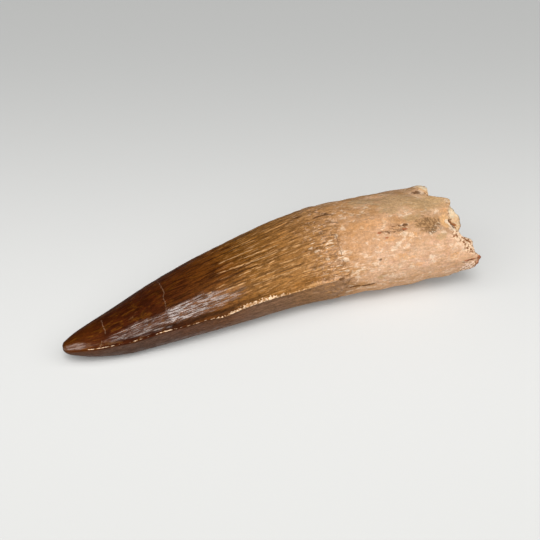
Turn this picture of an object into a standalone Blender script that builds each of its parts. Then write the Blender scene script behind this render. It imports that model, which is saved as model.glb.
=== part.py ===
"""A fossil tooth of a large fish-eating dinosaur, lying on its side.

The tooth is one solid.  It tapers from a broken root to a blunt tip, bends gently in plan,
and carries lengthwise flutes and two cutting ridges on its enamel crown.

Frame: +X runs along the tooth from the tip to the root, +Y is the bulging side of the bend
and +Z is up.  The origin is the middle of the bounding box, at the surface it lies on.

Two measures place every point of the skin:
    along  millimetres from the tip, towards the root
    angle  radians round the section: 0 faces -Y, a quarter turn is the top
"""

import math

import bmesh
import bpy
import numpy as np

NAME = "tooth"
MILLIMETRE = 0.001

# The body, in millimetres.
LENGTH = 100.0                # tip to the longest corner of the broken root
ROOT_HALF_WIDTH = 12.9        # half of the root's width, along Y
TAPER_LENGTH = 77.0           # the width stops growing this far from the tip
TAPER_POWERS = (1.95, 0.62)   # how fast the width rises, and how full the taper is
TIP_CUT = 0.5                 # the taper's own point would lie this far beyond the tip
TIP_ROUNDING = 0.7            # length of the rounded nose
CROWN_HEIGHT_RATIO = 0.67     # height over width of the crown's section
ROOT_HEIGHT_RATIO = 0.83      # and of the root's
RATIO_CHANGE = (62.0, 14.0)   # where the one passes into the other, and over what length
BEND_SLOPE = 0.14             # each half of the tooth leans this much in plan
BEND_PLACE = 59.0             # the halves meet here
BEND_SOFTNESS = 8.5           # in a bend of about this length each way
TIP_LIFT = 4.0                # the underside rises this much at the tip
LIFT_LENGTH = 18.0            # and starts to rise this far from it
NOSE_LIFT = 0.6               # the nose itself is rounded up by this much
NOSE_LENGTH = 1.5             # over this length
RESTING_CUT = 0.15            # worn off the underside where it lies on the surface

# The enamel crown.
ENAMEL_END = 67.0             # where the enamel stops
ENAMEL_STEP = 0.2             # how far it stands proud of the root
ENAMEL_WAVE = 1.2             # how far its edge wanders to and fro
FLUTES = 54                   # lengthwise ridges round the whole section
FLUTE_DEPTH = 0.22            # from ridge to groove
FLUTES_RISE = (10.0, 30.0)    # the flutes grow between these
FLUTES_FADE = (56.0, 67.0)    # and die away between these
CARINA_HEIGHT = 0.7           # the cutting ridge along each side
CARINA_HALF_WIDTH = 0.9
CARINA_ANGLE = math.radians(8.5)        # its place on the near side, above the middle
CARINA_TWIST = math.radians(11.0)       # it climbs this much more towards the tip
CARINA_TWIST_LENGTH = 27.0
CARINA_RISE = (2.0, 7.0)
CARINA_FADE = (58.0, 69.0)
CARINA_HOLLOW = 0.18          # the skin beside the ridge is hollowed by this much
CARINA_HOLLOW_PLACE = 2.2     # at this distance from it

# The broken end.  Each chip is (angle, half width in degrees, reach in millimetres).
LIP_BASE = LENGTH - 5.4       # where most of the wall ends
LIP_CHIPS = (
    (-5.0, 19.0, 5.3),        # the longest corner, on the near side
    (-62.0, 30.0, -4.0),      # the underside, broken back below it
    (23.0, 15.0, 3.0),        # its sloping shoulder
    (79.0, 7.0, 2.2),         # a tongue beside the top
    (98.0, 9.0, -2.0),        # the gap between the tongue and the knob
    (117.0, 14.0, -1.3),      # the broken side of the knob
    (150.0, 22.0, 1.4),
    (205.0, 20.0, -2.4),
    (262.0, 24.0, 1.0),
)
LIP_TEETH = 0.3               # fine raggedness of the lip
KNOB_PLACE = (92.6, 2.2)      # a raised flake on the root's back: place and half length
KNOB_ANGLE = (math.radians(118.0), math.radians(14.0))
KNOB_HEIGHT = 0.9
NOTCH_PLACE = (96.0, 3.6)     # a smooth scoop in the lip
NOTCH_ANGLE = (math.radians(53.0), math.radians(11.0))
NOTCH_DEPTH = 1.6
WEAR_DEPTH = 0.8              # the near lower side of the root is worn away
WEAR_RISE = (78.0, 92.0)
WEAR_ANGLE = (math.radians(-42.0), math.radians(28.0))
CRACK_PLACE = (80.5, 3.6)     # a short pitted crack in the root
CRACK_ANGLE = (math.radians(55.0), math.radians(3.6))
CRACK_DEPTH = 0.45
ROOT_LUMPS = 0.22             # low swells all over the root

# The end face, from the wall's lip at depth 0 to the middle at depth 1.
WALL = (0.10, 0.30)           # the wall's crest ends and its fill begins
FILL_LEVEL = LIP_BASE - 2.0   # the fill is sunk below the lip
LOBE_HEIGHT = 8.5             # a lobe of the fill that stands out past the notch
LOBE_ANGLE = (math.radians(58.0), math.radians(27.0))
LOBE_DEPTH = (0.17, 0.12)
PULP_HOLLOW = 2.2             # the middle of the fill is sunk by this much
PULP_EDGE = (0.40, 0.75)
FILL_LUMPS = 0.45

# The mesh.
SIDES = 2 * FLUTES            # one column on each ridge and one in each groove
CROWN_RINGS = 18
CROWN_RING_SPREAD = 2.0       # the rings are closer together at the tip
ROOT_RINGS = 13
END_RINGS = 8

COLOUR = (0.30, 0.15, 0.06, 1.0)
ROUGHNESS = 0.42


def smooth_step(value, low, high):
    """Rise from 0 at low to 1 at high with level ends."""
    t = np.clip((value - low) / (high - low), 0.0, 1.0)
    return t * t * (3.0 - 2.0 * t)


def bump(value, centre, half_width):
    """A bell that is 1 at the centre and 0.37 at the half width."""
    return np.exp(-((value - centre) / half_width) ** 2)


def turn_between(angle, centre):
    """Signed turn from the centre to the angle, between minus and plus half a turn."""
    return (angle - centre + math.pi) % (2.0 * math.pi) - math.pi


def round_bump(angle, centre, half_width):
    """A bell round the section."""
    return bump(turn_between(angle, centre), 0.0, half_width)


def half_width(along):
    """Half of the section's width: a power taper with a rounded nose."""
    rise, fullness = TAPER_POWERS
    t = np.clip((along + TIP_CUT) / (TAPER_LENGTH + TIP_CUT), 0.0, 1.0)
    nose = np.clip(1.0 - along / TIP_ROUNDING, 0.0, 1.0)
    return ROOT_HALF_WIDTH * (1.0 - (1.0 - t) ** rise) ** fullness * np.sqrt(1.0 - nose**2)


def half_height(along):
    """Half of the section's height: the width times a ratio that grows into the root."""
    place, length = RATIO_CHANGE
    share = 0.5 + 0.5 * np.tanh((along - place) / length)
    ratio = CROWN_HEIGHT_RATIO + (ROOT_HEIGHT_RATIO - CROWN_HEIGHT_RATIO) * share
    return half_width(along) * ratio


def bend(along):
    """The centre line in plan: two straight runs joined by a hyperbola's corner."""
    return -BEND_SLOPE * np.hypot(along - BEND_PLACE, BEND_SOFTNESS)


def lift(along):
    """Height of the underside: it curls up towards the tip, and once more at the nose."""
    curl = TIP_LIFT * np.clip(1.0 - along / LIFT_LENGTH, 0.0, 1.0) ** 2
    return curl + NOSE_LIFT * np.clip(1.0 - along / NOSE_LENGTH, 0.0, 1.0) ** 2


def lip(angle):
    """Where the wall breaks off, as a distance along the tooth."""
    edge = LIP_BASE + LIP_TEETH * (np.sin(17.0 * angle + 0.7) + 0.6 * np.sin(31.0 * angle))
    for centre, width, reach in LIP_CHIPS:
        edge = edge + reach * round_bump(angle, math.radians(centre), math.radians(width))
    return edge


def carina_distance(along, angle):
    """Distance on the skin from the nearer of the two cutting ridges."""
    climb = CARINA_TWIST * bump(along, 0.0, CARINA_TWIST_LENGTH)
    near = turn_between(angle, CARINA_ANGLE + climb)
    far = turn_between(angle, CARINA_ANGLE - climb + math.pi)
    return np.minimum(np.abs(near), np.abs(far)) * half_width(along)


def crown_relief(along, angle):
    """Enamel step, flutes and cutting ridges, as a height above the plain body."""
    edge = ENAMEL_END + ENAMEL_WAVE * np.sin(5.0 * angle + 1.0)
    enamel = ENAMEL_STEP * (1.0 - smooth_step(along, edge - 1.0, edge + 1.0))
    distance = carina_distance(along, angle)
    strength = smooth_step(along, *FLUTES_RISE) * (1.0 - smooth_step(along, *FLUTES_FADE))
    strength = strength * smooth_step(distance, CARINA_HALF_WIDTH, 3.0 * CARINA_HALF_WIDTH)
    flutes = 0.5 * FLUTE_DEPTH * np.cos(FLUTES * angle) * strength
    ridge = CARINA_HEIGHT * bump(distance, 0.0, CARINA_HALF_WIDTH)
    ridge = ridge - CARINA_HOLLOW * bump(distance, CARINA_HOLLOW_PLACE, CARINA_HALF_WIDTH)
    ridge = ridge * smooth_step(along, *CARINA_RISE) * (1.0 - smooth_step(along, *CARINA_FADE))
    return enamel + flutes + ridge


def root_relief(along, angle):
    """Swells, crack, knob and notch of the root, as a height above the plain body."""
    lumps = np.sin(0.55 * along + 1.7 * np.sin(3.0 * angle)) * np.sin(5.0 * angle + 0.21 * along)
    height = ROOT_LUMPS * lumps * smooth_step(along, ENAMEL_END, ENAMEL_END + 6.0)
    wear = smooth_step(along, *WEAR_RISE) * round_bump(angle, *WEAR_ANGLE)
    height = height - WEAR_DEPTH * wear
    height = height - CRACK_DEPTH * bump(along, *CRACK_PLACE) * round_bump(angle, *CRACK_ANGLE)
    height = height - NOTCH_DEPTH * bump(along, *NOTCH_PLACE) * round_bump(angle, *NOTCH_ANGLE)
    return height + KNOB_HEIGHT * bump(along, *KNOB_PLACE) * round_bump(angle, *KNOB_ANGLE)


def end_face(depth, angle):
    """Level of the end face: the wall's lip, then the fill with its lobe and its hollow."""
    crest = lip(angle)
    lobe = round_bump(angle, *LOBE_ANGLE) * bump(depth, *LOBE_DEPTH)
    lumps = np.sin(4.0 * angle + 9.0 * depth) * np.sin(2.0 * angle - 14.0 * depth)
    fill = FILL_LEVEL + LOBE_HEIGHT * lobe + FILL_LUMPS * lumps * (1.0 - depth)
    fill = fill - PULP_HOLLOW * smooth_step(depth, *PULP_EDGE)
    return crest + (fill - crest) * smooth_step(depth, *WALL)


def ring_place(ring, angle):
    """Turn a ring's number into its distance along the tooth and its share of the radius."""
    crown = np.clip(ring / CROWN_RINGS, 0.0, 1.0) ** CROWN_RING_SPREAD * ENAMEL_END
    root = np.clip((ring - CROWN_RINGS) / ROOT_RINGS, 0.0, 1.0)
    depth = np.clip((ring - CROWN_RINGS - ROOT_RINGS) / (END_RINGS + 1.0), 0.0, 1.0)
    along = crown + (end_face(depth, angle) - ENAMEL_END) * root
    return along, 1.0 - depth


def skin(ring, angle):
    """Position, in millimetres, of every point of the tooth's skin."""
    along, share = ring_place(ring, angle)
    relief = crown_relief(along, angle) + root_relief(along, angle)
    wide = (half_width(along) + relief) * share
    high = (half_height(along) + relief) * share
    y = bend(along) - wide * np.cos(angle)
    z = lift(along) + half_height(along) + high * np.sin(angle) - RESTING_CUT
    return np.stack([along, y, np.maximum(z, 0.0)], axis=-1)


def tooth_mesh():
    """Draw a sphere's rings out into the tooth: one pole is the tip, the other the end."""
    rings = CROWN_RINGS + ROOT_RINGS + END_RINGS + 1
    body = bmesh.new()
    bmesh.ops.create_uvsphere(body, u_segments=SIDES, v_segments=rings, radius=1.0)
    sphere = np.array([vertex.co for vertex in body.verts])
    ring = np.round(np.arccos(np.clip(-sphere[:, 2], -1.0, 1.0)) / math.pi * rings)
    angle = math.pi - np.arctan2(sphere[:, 1], sphere[:, 0])
    points = skin(ring, angle)
    low, high = points.min(axis=0), points.max(axis=0)
    points[:, :2] -= (0.5 * (low + high))[:2]
    for vertex, point in zip(body.verts, points):
        vertex.co = point * MILLIMETRE
    mesh = bpy.data.meshes.new(NAME)
    body.to_mesh(mesh)
    body.free()
    mesh.shade_smooth()
    return mesh


def tooth_material():
    """Satin brown fossil enamel."""
    material = bpy.data.materials.new("fossil enamel")
    material.use_nodes = True
    shader = material.node_tree.nodes["Principled BSDF"]
    shader.inputs["Base Color"].default_value = COLOUR
    shader.inputs["Roughness"].default_value = ROUGHNESS
    shader.inputs["Metallic"].default_value = 0.0
    return material


for old in list(bpy.data.objects):
    bpy.data.objects.remove(old)

fossil = bpy.data.collections.new("fossil tooth")
bpy.context.scene.collection.children.link(fossil)
tooth = bpy.data.objects.new(NAME, tooth_mesh())
tooth.data.materials.append(tooth_material())
fossil.objects.link(tooth)
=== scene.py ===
"""A fossil tooth of a large fish-eating dinosaur, lying on a pale table under a wide soft light.

Units are metres in Blender and millimetres in the tooth's own measures.  +X runs from the tip
to the root, +Y is the bulging side of the tooth's bend and +Z is up.
"""

import math

import bpy
import numpy as np
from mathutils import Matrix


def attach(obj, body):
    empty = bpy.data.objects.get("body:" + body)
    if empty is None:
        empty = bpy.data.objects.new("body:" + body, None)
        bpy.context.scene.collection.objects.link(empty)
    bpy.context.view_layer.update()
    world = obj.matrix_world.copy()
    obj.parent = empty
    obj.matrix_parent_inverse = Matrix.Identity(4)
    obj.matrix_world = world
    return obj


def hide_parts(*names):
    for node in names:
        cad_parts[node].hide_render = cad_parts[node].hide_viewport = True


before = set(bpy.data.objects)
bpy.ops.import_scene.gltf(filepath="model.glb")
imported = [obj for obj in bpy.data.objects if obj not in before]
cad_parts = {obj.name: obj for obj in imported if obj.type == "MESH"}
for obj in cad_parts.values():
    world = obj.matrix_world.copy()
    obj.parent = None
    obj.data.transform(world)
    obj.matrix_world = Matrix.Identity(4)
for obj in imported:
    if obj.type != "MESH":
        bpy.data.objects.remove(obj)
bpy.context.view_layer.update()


# ---------------------------------------------------------------------------------------------
# The camera stands in front of the tooth's bitten side and looks down on it.  It has a long
# lens, no depth of field and no shift.
VIEW_TURN = math.radians(21.18)       # the camera stands this far round towards the tip
VIEW_HEIGHT = math.radians(36.59)
VIEW_DISTANCE = 0.398
VIEW_AIM = np.array([0.00288, 0.001545, 0.00815])
LENS = 111.84                         # on a 36 mm sensor

camera = bpy.data.objects.new("camera", bpy.data.cameras.new("camera"))
bpy.context.scene.collection.objects.link(camera)
camera.data.lens = LENS
camera.data.sensor_width = 36.0
camera.data.clip_start = 0.01
camera.location = VIEW_AIM + VIEW_DISTANCE * np.array([
    -math.sin(VIEW_TURN) * math.cos(VIEW_HEIGHT),
    -math.cos(VIEW_TURN) * math.cos(VIEW_HEIGHT),
    math.sin(VIEW_HEIGHT),
])
camera.rotation_euler = (math.pi / 2.0 - VIEW_HEIGHT, 0.0, -VIEW_TURN)
bpy.context.scene.camera = camera
bpy.context.scene.view_settings.view_transform = "Standard"


# ---------------------------------------------------------------------------------------------
# The table is a matt board, far larger than the view, of card whose tone, painted light and shade
# standing in for the lamps' fall-off, lightens a little from front to back and dims again behind.
TABLE_REACH = 4.0
TABLE_ROUGHNESS = 0.75
TABLE_RANGE = (-0.09, 0.17)           # the stretch, away from the camera, where its tone changes
TABLE_LIGHT_AND_SHADE_TONES = (
    (0.00, (0.352, 0.352, 0.344)),
    (0.22, (0.412, 0.412, 0.404)),
    (0.45, (0.422, 0.422, 0.414)),
    (0.75, (0.335, 0.337, 0.331)),
    (1.00, (0.350, 0.352, 0.346)),
)


class Tone:
    """A value that varies over a surface.  It holds a node's socket, and a sum on it adds a
    Math node."""

    def __init__(self, tree, socket=None):
        self.tree = tree
        self.socket = socket

    def node(self, kind, settings=(), sockets=(), output=0):
        """Add a node: first its settings, with a ramp's stops, then its sockets."""
        made = self.tree.nodes.new("ShaderNode" + kind)
        for name, value in dict(settings).items():
            if name == "stops":
                stops = made.color_ramp.elements
                while len(stops) < len(value):
                    stops.new(1.0)
                for stop, (place, colour) in zip(stops, value):
                    stop.position = place
                    stop.color = (*colour, 1.0)
            elif name == "blend":
                made.color_ramp.interpolation = value
            else:
                setattr(made, name, value)
        for name, value in dict(sockets).items():
            if isinstance(value, Tone):
                self.tree.links.new(value.socket, made.inputs[name])
            else:
                made.inputs[name].default_value = value
        return Tone(self.tree, made.outputs[output])

    def math(self, operation, first, second=0.0):
        return self.node("Math", {"operation": operation}, {0: first, 1: second})

    def __add__(self, other):
        return self.math("ADD", self, other)

    def __radd__(self, other):
        return self.math("ADD", other, self)

    def __sub__(self, other):
        return self.math("SUBTRACT", self, other)

    def __rsub__(self, other):
        return self.math("SUBTRACT", other, self)

    def __mul__(self, other):
        return self.math("MULTIPLY", self, other)

    def __rmul__(self, other):
        return self.math("MULTIPLY", other, self)

    def __abs__(self):
        return self.math("ABSOLUTE", self)

    def smooth(self, low, high):
        """Rise from 0 at low to 1 at high with level ends."""
        return self.node("MapRange", {"interpolation_type": "SMOOTHSTEP"},
                         {"Value": self, "From Min": low, "From Max": high})

    def between(self, rise, fall):
        """Rise from 0 to 1 over one stretch and fall back to 0 over another."""
        return self.smooth(*rise) * (1.0 - self.smooth(*fall))

    def mix(self, first, second, blend="MIX"):
        """The first colour where this is 0 and the second, or its blend, where it is 1."""
        first, second = (colour if isinstance(colour, Tone) else (*colour, 1.0)
                         for colour in (first, second))
        return self.node("Mix", {"data_type": "RGBA", "blend_type": blend},
                         {0: self, 6: first, 7: second}, output=2)


table_mesh = bpy.data.meshes.new("table")
table_mesh.from_pydata(
    [(-TABLE_REACH, -TABLE_REACH, 0.0), (TABLE_REACH, -TABLE_REACH, 0.0),
     (TABLE_REACH, TABLE_REACH, 0.0), (-TABLE_REACH, TABLE_REACH, 0.0)],
    [], [(0, 1, 2, 3)])
table = bpy.data.objects.new("table", table_mesh)
bpy.context.scene.collection.objects.link(table)
card = bpy.data.materials.new("pale card")
card.use_nodes = True
table_mesh.materials.append(card)
card_shader = card.node_tree.nodes["Principled BSDF"]
card_shader.inputs["Roughness"].default_value = TABLE_ROUGHNESS
card_shader.inputs["Specular IOR Level"].default_value = 0.1
pen = Tone(card.node_tree)
table_place = pen.node("TexCoord", output=3)
away = pen.node("VectorMath", {"operation": "DOT_PRODUCT"},
                {0: table_place, 1: (math.sin(VIEW_TURN), math.cos(VIEW_TURN), 0.0)}, output=1)
back_share = (away - TABLE_RANGE[0]) * (1.0 / (TABLE_RANGE[1] - TABLE_RANGE[0]))
# painted light and shade: the card's tone follows its distance from the camera
card_painted_light = pen.node("ValToRGB", {"blend": "B_SPLINE", "stops": TABLE_LIGHT_AND_SHADE_TONES}, {"Fac": back_share})
card.node_tree.links.new(card_painted_light.socket, card_shader.inputs["Base Color"])


# ---------------------------------------------------------------------------------------------
# The light is one level panel of diffusing cloth, square to the camera.  Its far edge hangs
# almost over the tooth and it reaches back over the camera.  Two more lamps light the table
# alone: one from the camera's side, which keeps the tooth's shadow narrow, and one that no
# object shades, which keeps it pale.  The room around is dim.
PANEL_HEIGHT = 0.30
PANEL_NEAR, PANEL_FAR = -0.60, -0.0334    # its two edges, along the camera's own direction
PANEL_LEFT, PANEL_RIGHT = -0.45, 0.50     # and across it
PANEL_RADIANCE = 2.75
FRONT_STRENGTH = 2.5
FRONT_HEIGHT = math.radians(55.0)
FRONT_SPREAD = math.radians(26.0)
FILL_STRENGTH = 1.05
ROOM_GREY = (0.03, 0.03, 0.03, 1.0)

panel_lamp = bpy.data.lights.new("soft panel", "AREA")
panel_lamp.shape = "RECTANGLE"
panel_lamp.size = PANEL_RIGHT - PANEL_LEFT
panel_lamp.size_y = PANEL_FAR - PANEL_NEAR
panel_lamp.energy = PANEL_RADIANCE * math.pi * panel_lamp.size * panel_lamp.size_y
panel = bpy.data.objects.new("soft panel", panel_lamp)
panel_across, panel_away = 0.5 * (PANEL_LEFT + PANEL_RIGHT), 0.5 * (PANEL_NEAR + PANEL_FAR)
panel.location = (panel_across * math.cos(VIEW_TURN) + panel_away * math.sin(VIEW_TURN),
                  panel_away * math.cos(VIEW_TURN) - panel_across * math.sin(VIEW_TURN),
                  PANEL_HEIGHT)
panel.rotation_euler = (0.0, 0.0, -VIEW_TURN)
panel.visible_camera = False
bpy.context.scene.collection.objects.link(panel)

table_only = bpy.data.collections.new("table only")
table_only.objects.link(table)

front_lamp = bpy.data.lights.new("table front", "SUN")
front_lamp.energy = FRONT_STRENGTH
front_lamp.angle = FRONT_SPREAD
front = bpy.data.objects.new("table front", front_lamp)
front.rotation_euler = (math.pi / 2.0 - FRONT_HEIGHT, 0.0, -VIEW_TURN)
front.light_linking.receiver_collection = table_only
bpy.context.scene.collection.objects.link(front)

fill_lamp = bpy.data.lights.new("table fill", "SUN")
fill_lamp.energy = FILL_STRENGTH
fill = bpy.data.objects.new("table fill", fill_lamp)
fill.light_linking.receiver_collection = table_only
fill.light_linking.blocker_collection = table_only
bpy.context.scene.collection.objects.link(fill)

room = bpy.data.worlds.new("dim room")
room.use_nodes = True
room.node_tree.nodes["Background"].inputs["Color"].default_value = ROOM_GREY
bpy.context.scene.world = room


# ---------------------------------------------------------------------------------------------
# The tooth itself: enamel crown, root and the stone in its pulp cavity, mineralised into one
# piece.  Its shape is worked out in millimetres from two measures, the distance along it from
# the tip and the angle round it, where 0 faces -Y and a quarter turn is the top.

# Its body.
TAPER_LENGTH = 77.0
TAPER_POWERS = (1.95, 0.62)
TIP_CUT = 0.5
TIP_ROUNDING = 0.7
ROOT_HALF_WIDTH = 12.9
CROWN_HEIGHT_RATIO = 0.67
ROOT_HEIGHT_RATIO = 0.83
RATIO_CHANGE = (62.0, 14.0)
BEND_SLOPE = 0.14
BEND_PLACE = 59.0
BEND_SOFTNESS = 8.5
TIP_LIFT = 4.0
LIFT_LENGTH = 18.0
NOSE_LIFT = 0.6
NOSE_LENGTH = 1.5
RESTING_CUT = 0.15
FOOTPRINT_MIDDLE = (49.984, -3.305)   # of the solid, before it is moved to the origin
MILLIMETRE = 0.001


def smooth_step(value, low, high):
    """Rise from 0 at low to 1 at high with level ends."""
    t = np.clip((value - low) / (high - low), 0.0, 1.0)
    return t * t * (3.0 - 2.0 * t)


def bump(value, centre, half_width):
    """A bell that is 1 at the centre and 0.37 at the half width."""
    return np.exp(-((value - centre) / half_width) ** 2)


def turn_between(angle, centre):
    """Signed turn from the centre to the angle, between minus and plus half a turn."""
    return (angle - centre + math.pi) % (2.0 * math.pi) - math.pi


def round_bump(angle, centre, half_width):
    """A bell round the section; centre and half width are in degrees."""
    return bump(turn_between(angle, math.radians(centre)), 0.0, math.radians(half_width))


def half_width(along):
    """Half of the section's width: a power taper with a rounded nose."""
    rise, fullness = TAPER_POWERS
    t = np.clip((along + TIP_CUT) / (TAPER_LENGTH + TIP_CUT), 0.0, 1.0)
    nose = np.clip(1.0 - along / TIP_ROUNDING, 0.0, 1.0)
    return ROOT_HALF_WIDTH * (1.0 - (1.0 - t) ** rise) ** fullness * np.sqrt(1.0 - nose**2)


def half_height(along):
    """Half of the section's height: the width times a ratio that grows into the root."""
    place, length = RATIO_CHANGE
    share = 0.5 + 0.5 * np.tanh((along - place) / length)
    ratio = CROWN_HEIGHT_RATIO + (ROOT_HEIGHT_RATIO - CROWN_HEIGHT_RATIO) * share
    return half_width(along) * ratio


def bend(along):
    """The centre line in plan: two straight runs joined by a hyperbola's corner."""
    return -BEND_SLOPE * np.hypot(along - BEND_PLACE, BEND_SOFTNESS)


def lift(along):
    """Height of the underside: it curls up towards the tip, and once more at the nose."""
    curl = TIP_LIFT * np.clip(1.0 - along / LIFT_LENGTH, 0.0, 1.0) ** 2
    return curl + NOSE_LIFT * np.clip(1.0 - along / NOSE_LENGTH, 0.0, 1.0) ** 2


LATTICE_SIZE = 32
LATTICE = np.random.default_rng(7).random((LATTICE_SIZE,) * 3)
SKIN_RADIUS = 10.0


def mottle(along, angle, long, wide, share=1.0):
    """Smooth noise from -1 to 1 on the skin.  The skin is laid on a cylinder, cut into cells so
    long and so wide, and the random values at a cell's corners are blended with eased weights.
    On the broken end the share is how far out a point lies."""
    cell = np.stack([along / long + 0.0 * angle,
                     SKIN_RADIUS * share * np.cos(angle) / wide,
                     SKIN_RADIUS * share * np.sin(angle) / wide], axis=-1)
    base = np.floor(cell).astype(int)
    part = cell - base
    part = part * part * (3.0 - 2.0 * part)
    total = 0.0
    for corner in np.ndindex(2, 2, 2):
        weight = np.prod(np.where(corner, part, 1.0 - part), axis=-1)
        i, j, k = np.moveaxis((base + corner) % LATTICE_SIZE, -1, 0)
        total = total + weight * LATTICE[i, j, k]
    return 2.0 * total - 1.0


# The crown is covered in enamel, which ends in a ragged step on the root.  Lengthwise flutes,
# each about a millimetre wide, carry finer wrinkles, and a cutting ridge runs along each side.
# A RISE or a FADE is the stretch over which a form comes or goes, a PLACE is (distance from the
# tip, half length), an ANGLE is (angle, half width) and a CELL is a noise's (length, width).
ENAMEL_END = 67.0
ENAMEL_STEP = 0.2
ENAMEL_WAVE = 1.2
ENAMEL_TEETH = ((1.2, 1.3), (0.8, 0.6))   # of its ragged edge: reach, width
ENAMEL_SOFTNESS = 0.5
FLUTES = 54
FLUTE_DEPTH = 0.22
FLUTES_RISE = (24.0, 48.0)
FLUTES_FADE = (56.0, 67.0)
FLUTES_CLEAR = (0.8, 2.4)             # how far from a ridge they begin
FLUTE_WANDER = 1.5
WANDER_CELL = (18.0, 3.0)
FLUTE_EVENNESS = (0.7, 0.6)           # the mean of their depth, and how far it varies
EVENNESS_CELL = (7.0, 2.0)
SMOOTH_ANGLE = (-45.0, 40.0)          # below the near ridge the enamel is all but smooth
FLUTES_LOST = 0.85
WRINKLE_DEPTH = 0.10
WRINKLE_CELL = (2.0, 0.9)
WRINKLES_RISE = (18.0, 26.0)
WRINKLES_LOST = 0.7
SWELL_HEIGHT = 0.08
SWELL_CELL = (5.0, 3.0)
SWELL_RISE = (2.0, 8.0)
FLAKE_DEPTH = 0.12                    # the last of the enamel is lifting in flakes
FLAKE_PLACE = (64.5, 4.5)
FLAKE_CELL = (1.8, 0.9)
FLAKE_NOISE = (-0.1, 0.3)             # between these values of the noise a flake begins
RIDGE_LINE = (                        # where the near ridge runs: distance from the tip, angle
    (2.0, 19.0), (6.0, 18.0), (11.5, 19.0), (16.0, 17.0), (22.0, 16.0), (28.0, 12.0),
    (33.0, 11.5), (36.5, 7.5), (39.0, 9.5), (42.0, 12.0), (49.0, 11.5), (54.0, 9.0),
    (60.0, 8.0), (68.0, 7.5),
)
RIDGE_HEIGHT = 0.7
RIDGE_HALF_WIDTH = 0.5
RIDGE_START = (2.0, 7.0)
RIDGE_WORN = 0.25                     # the share of its height that is left near the tip
RIDGE_RISE = (22.0, 42.0)
RIDGE_FADE = (56.0, 69.0)
RIDGE_HOLLOW = 0.18
RIDGE_HOLLOW_OFFSET = 1.3
FAR_RIDGE_TURN = 17.0                 # how far the other ridge is from lying opposite
DENTICLE_PITCH = 0.8
DENTICLE_DEPTH = 0.25
DENTICLE_MEAN = 0.7
DENTICLES_RISE = (30.0, 38.0)


def enamel_edge(angle):
    """Where the enamel ends: a slow wave with ragged teeth on it."""
    edge = ENAMEL_END + ENAMEL_WAVE * np.sin(5.0 * angle + 1.0)
    for row, (reach, wide) in enumerate(ENAMEL_TEETH):
        edge = edge + reach * mottle(3.0 * row, angle, 1.0, wide)
    return edge


def enamel_share(along, angle):
    """1 on the enamel and 0 on the root."""
    edge = enamel_edge(angle)
    return 1.0 - smooth_step(along, edge - ENAMEL_SOFTNESS, edge + ENAMEL_SOFTNESS)


def ridge_offset(along, angle):
    """Signed distance on the skin from the nearer cutting ridge, positive above it."""
    places, turns = np.transpose(RIDGE_LINE)
    line = np.radians(np.interp(along, places, turns))
    near = turn_between(angle, line)
    far = -turn_between(angle, math.pi + math.radians(FAR_RIDGE_TURN) - line)
    return np.where(np.abs(near) < np.abs(far), near, far) * half_width(along)


def ridge_strength(along):
    """The ridge is low near the tip, where it is worn, and dies away at the root."""
    grown = RIDGE_WORN * smooth_step(along, *RIDGE_START)
    grown = grown + (1.0 - RIDGE_WORN) * smooth_step(along, *RIDGE_RISE)
    return grown * (1.0 - smooth_step(along, *RIDGE_FADE))


def flute_crest(along, angle):
    """Height of the flutes from -1 to 1: a cosine round the tooth whose phase wanders."""
    wander = FLUTE_WANDER * mottle(along, angle, *WANDER_CELL)
    return np.cos(FLUTES * angle + wander)


def flute_strength(along, angle):
    """How far the flutes stand out: not at the tip, beside the ridges or on the root."""
    offset = np.abs(ridge_offset(along, angle))
    strength = smooth_step(along, *FLUTES_RISE) * (1.0 - smooth_step(along, *FLUTES_FADE))
    strength = strength * (1.0 - FLUTES_LOST * round_bump(angle, *SMOOTH_ANGLE))
    return strength * smooth_step(offset, *FLUTES_CLEAR)


def denticles(along):
    """Height of the ridge's small teeth from 0 to 1: rounded peaks with narrow notches."""
    return np.abs(np.sin(math.pi * along / DENTICLE_PITCH)) ** 0.5


def crown_relief(along, angle):
    """Enamel step, flutes, wrinkles, flakes and cutting ridges, above the plain body."""
    enamel = enamel_share(along, angle)
    strength = flute_strength(along, angle)
    mean, variation = FLUTE_EVENNESS
    uneven = mean + variation * mottle(along, angle, *EVENNESS_CELL)
    flutes = 0.5 * FLUTE_DEPTH * flute_crest(along, angle) * strength * uneven
    wrinkle = 1.0 - 2.0 * np.abs(mottle(along, angle, *WRINKLE_CELL))
    wrinkle = wrinkle * smooth_step(along, *WRINKLES_RISE)
    wrinkle = wrinkle * (1.0 - WRINKLES_LOST * round_bump(angle, *SMOOTH_ANGLE))
    swell = SWELL_HEIGHT * mottle(along, angle, *SWELL_CELL) * smooth_step(along, *SWELL_RISE)
    flake = smooth_step(mottle(along + 7.0, angle, *FLAKE_CELL), *FLAKE_NOISE)
    flake = FLAKE_DEPTH * flake * bump(along, *FLAKE_PLACE)
    offset = ridge_offset(along, angle)
    teeth = DENTICLE_DEPTH * (denticles(along) - DENTICLE_MEAN)
    teeth = teeth * smooth_step(along, *DENTICLES_RISE)
    ridge = (RIDGE_HEIGHT + teeth) * bump(offset, 0.0, RIDGE_HALF_WIDTH)
    ridge = ridge - RIDGE_HOLLOW * bump(np.abs(offset), RIDGE_HOLLOW_OFFSET, RIDGE_HALF_WIDTH)
    return ((ENAMEL_STEP + 0.5 * WRINKLE_DEPTH * wrinkle + swell) * enamel + flutes + flake
            + ridge * ridge_strength(along))


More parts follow.
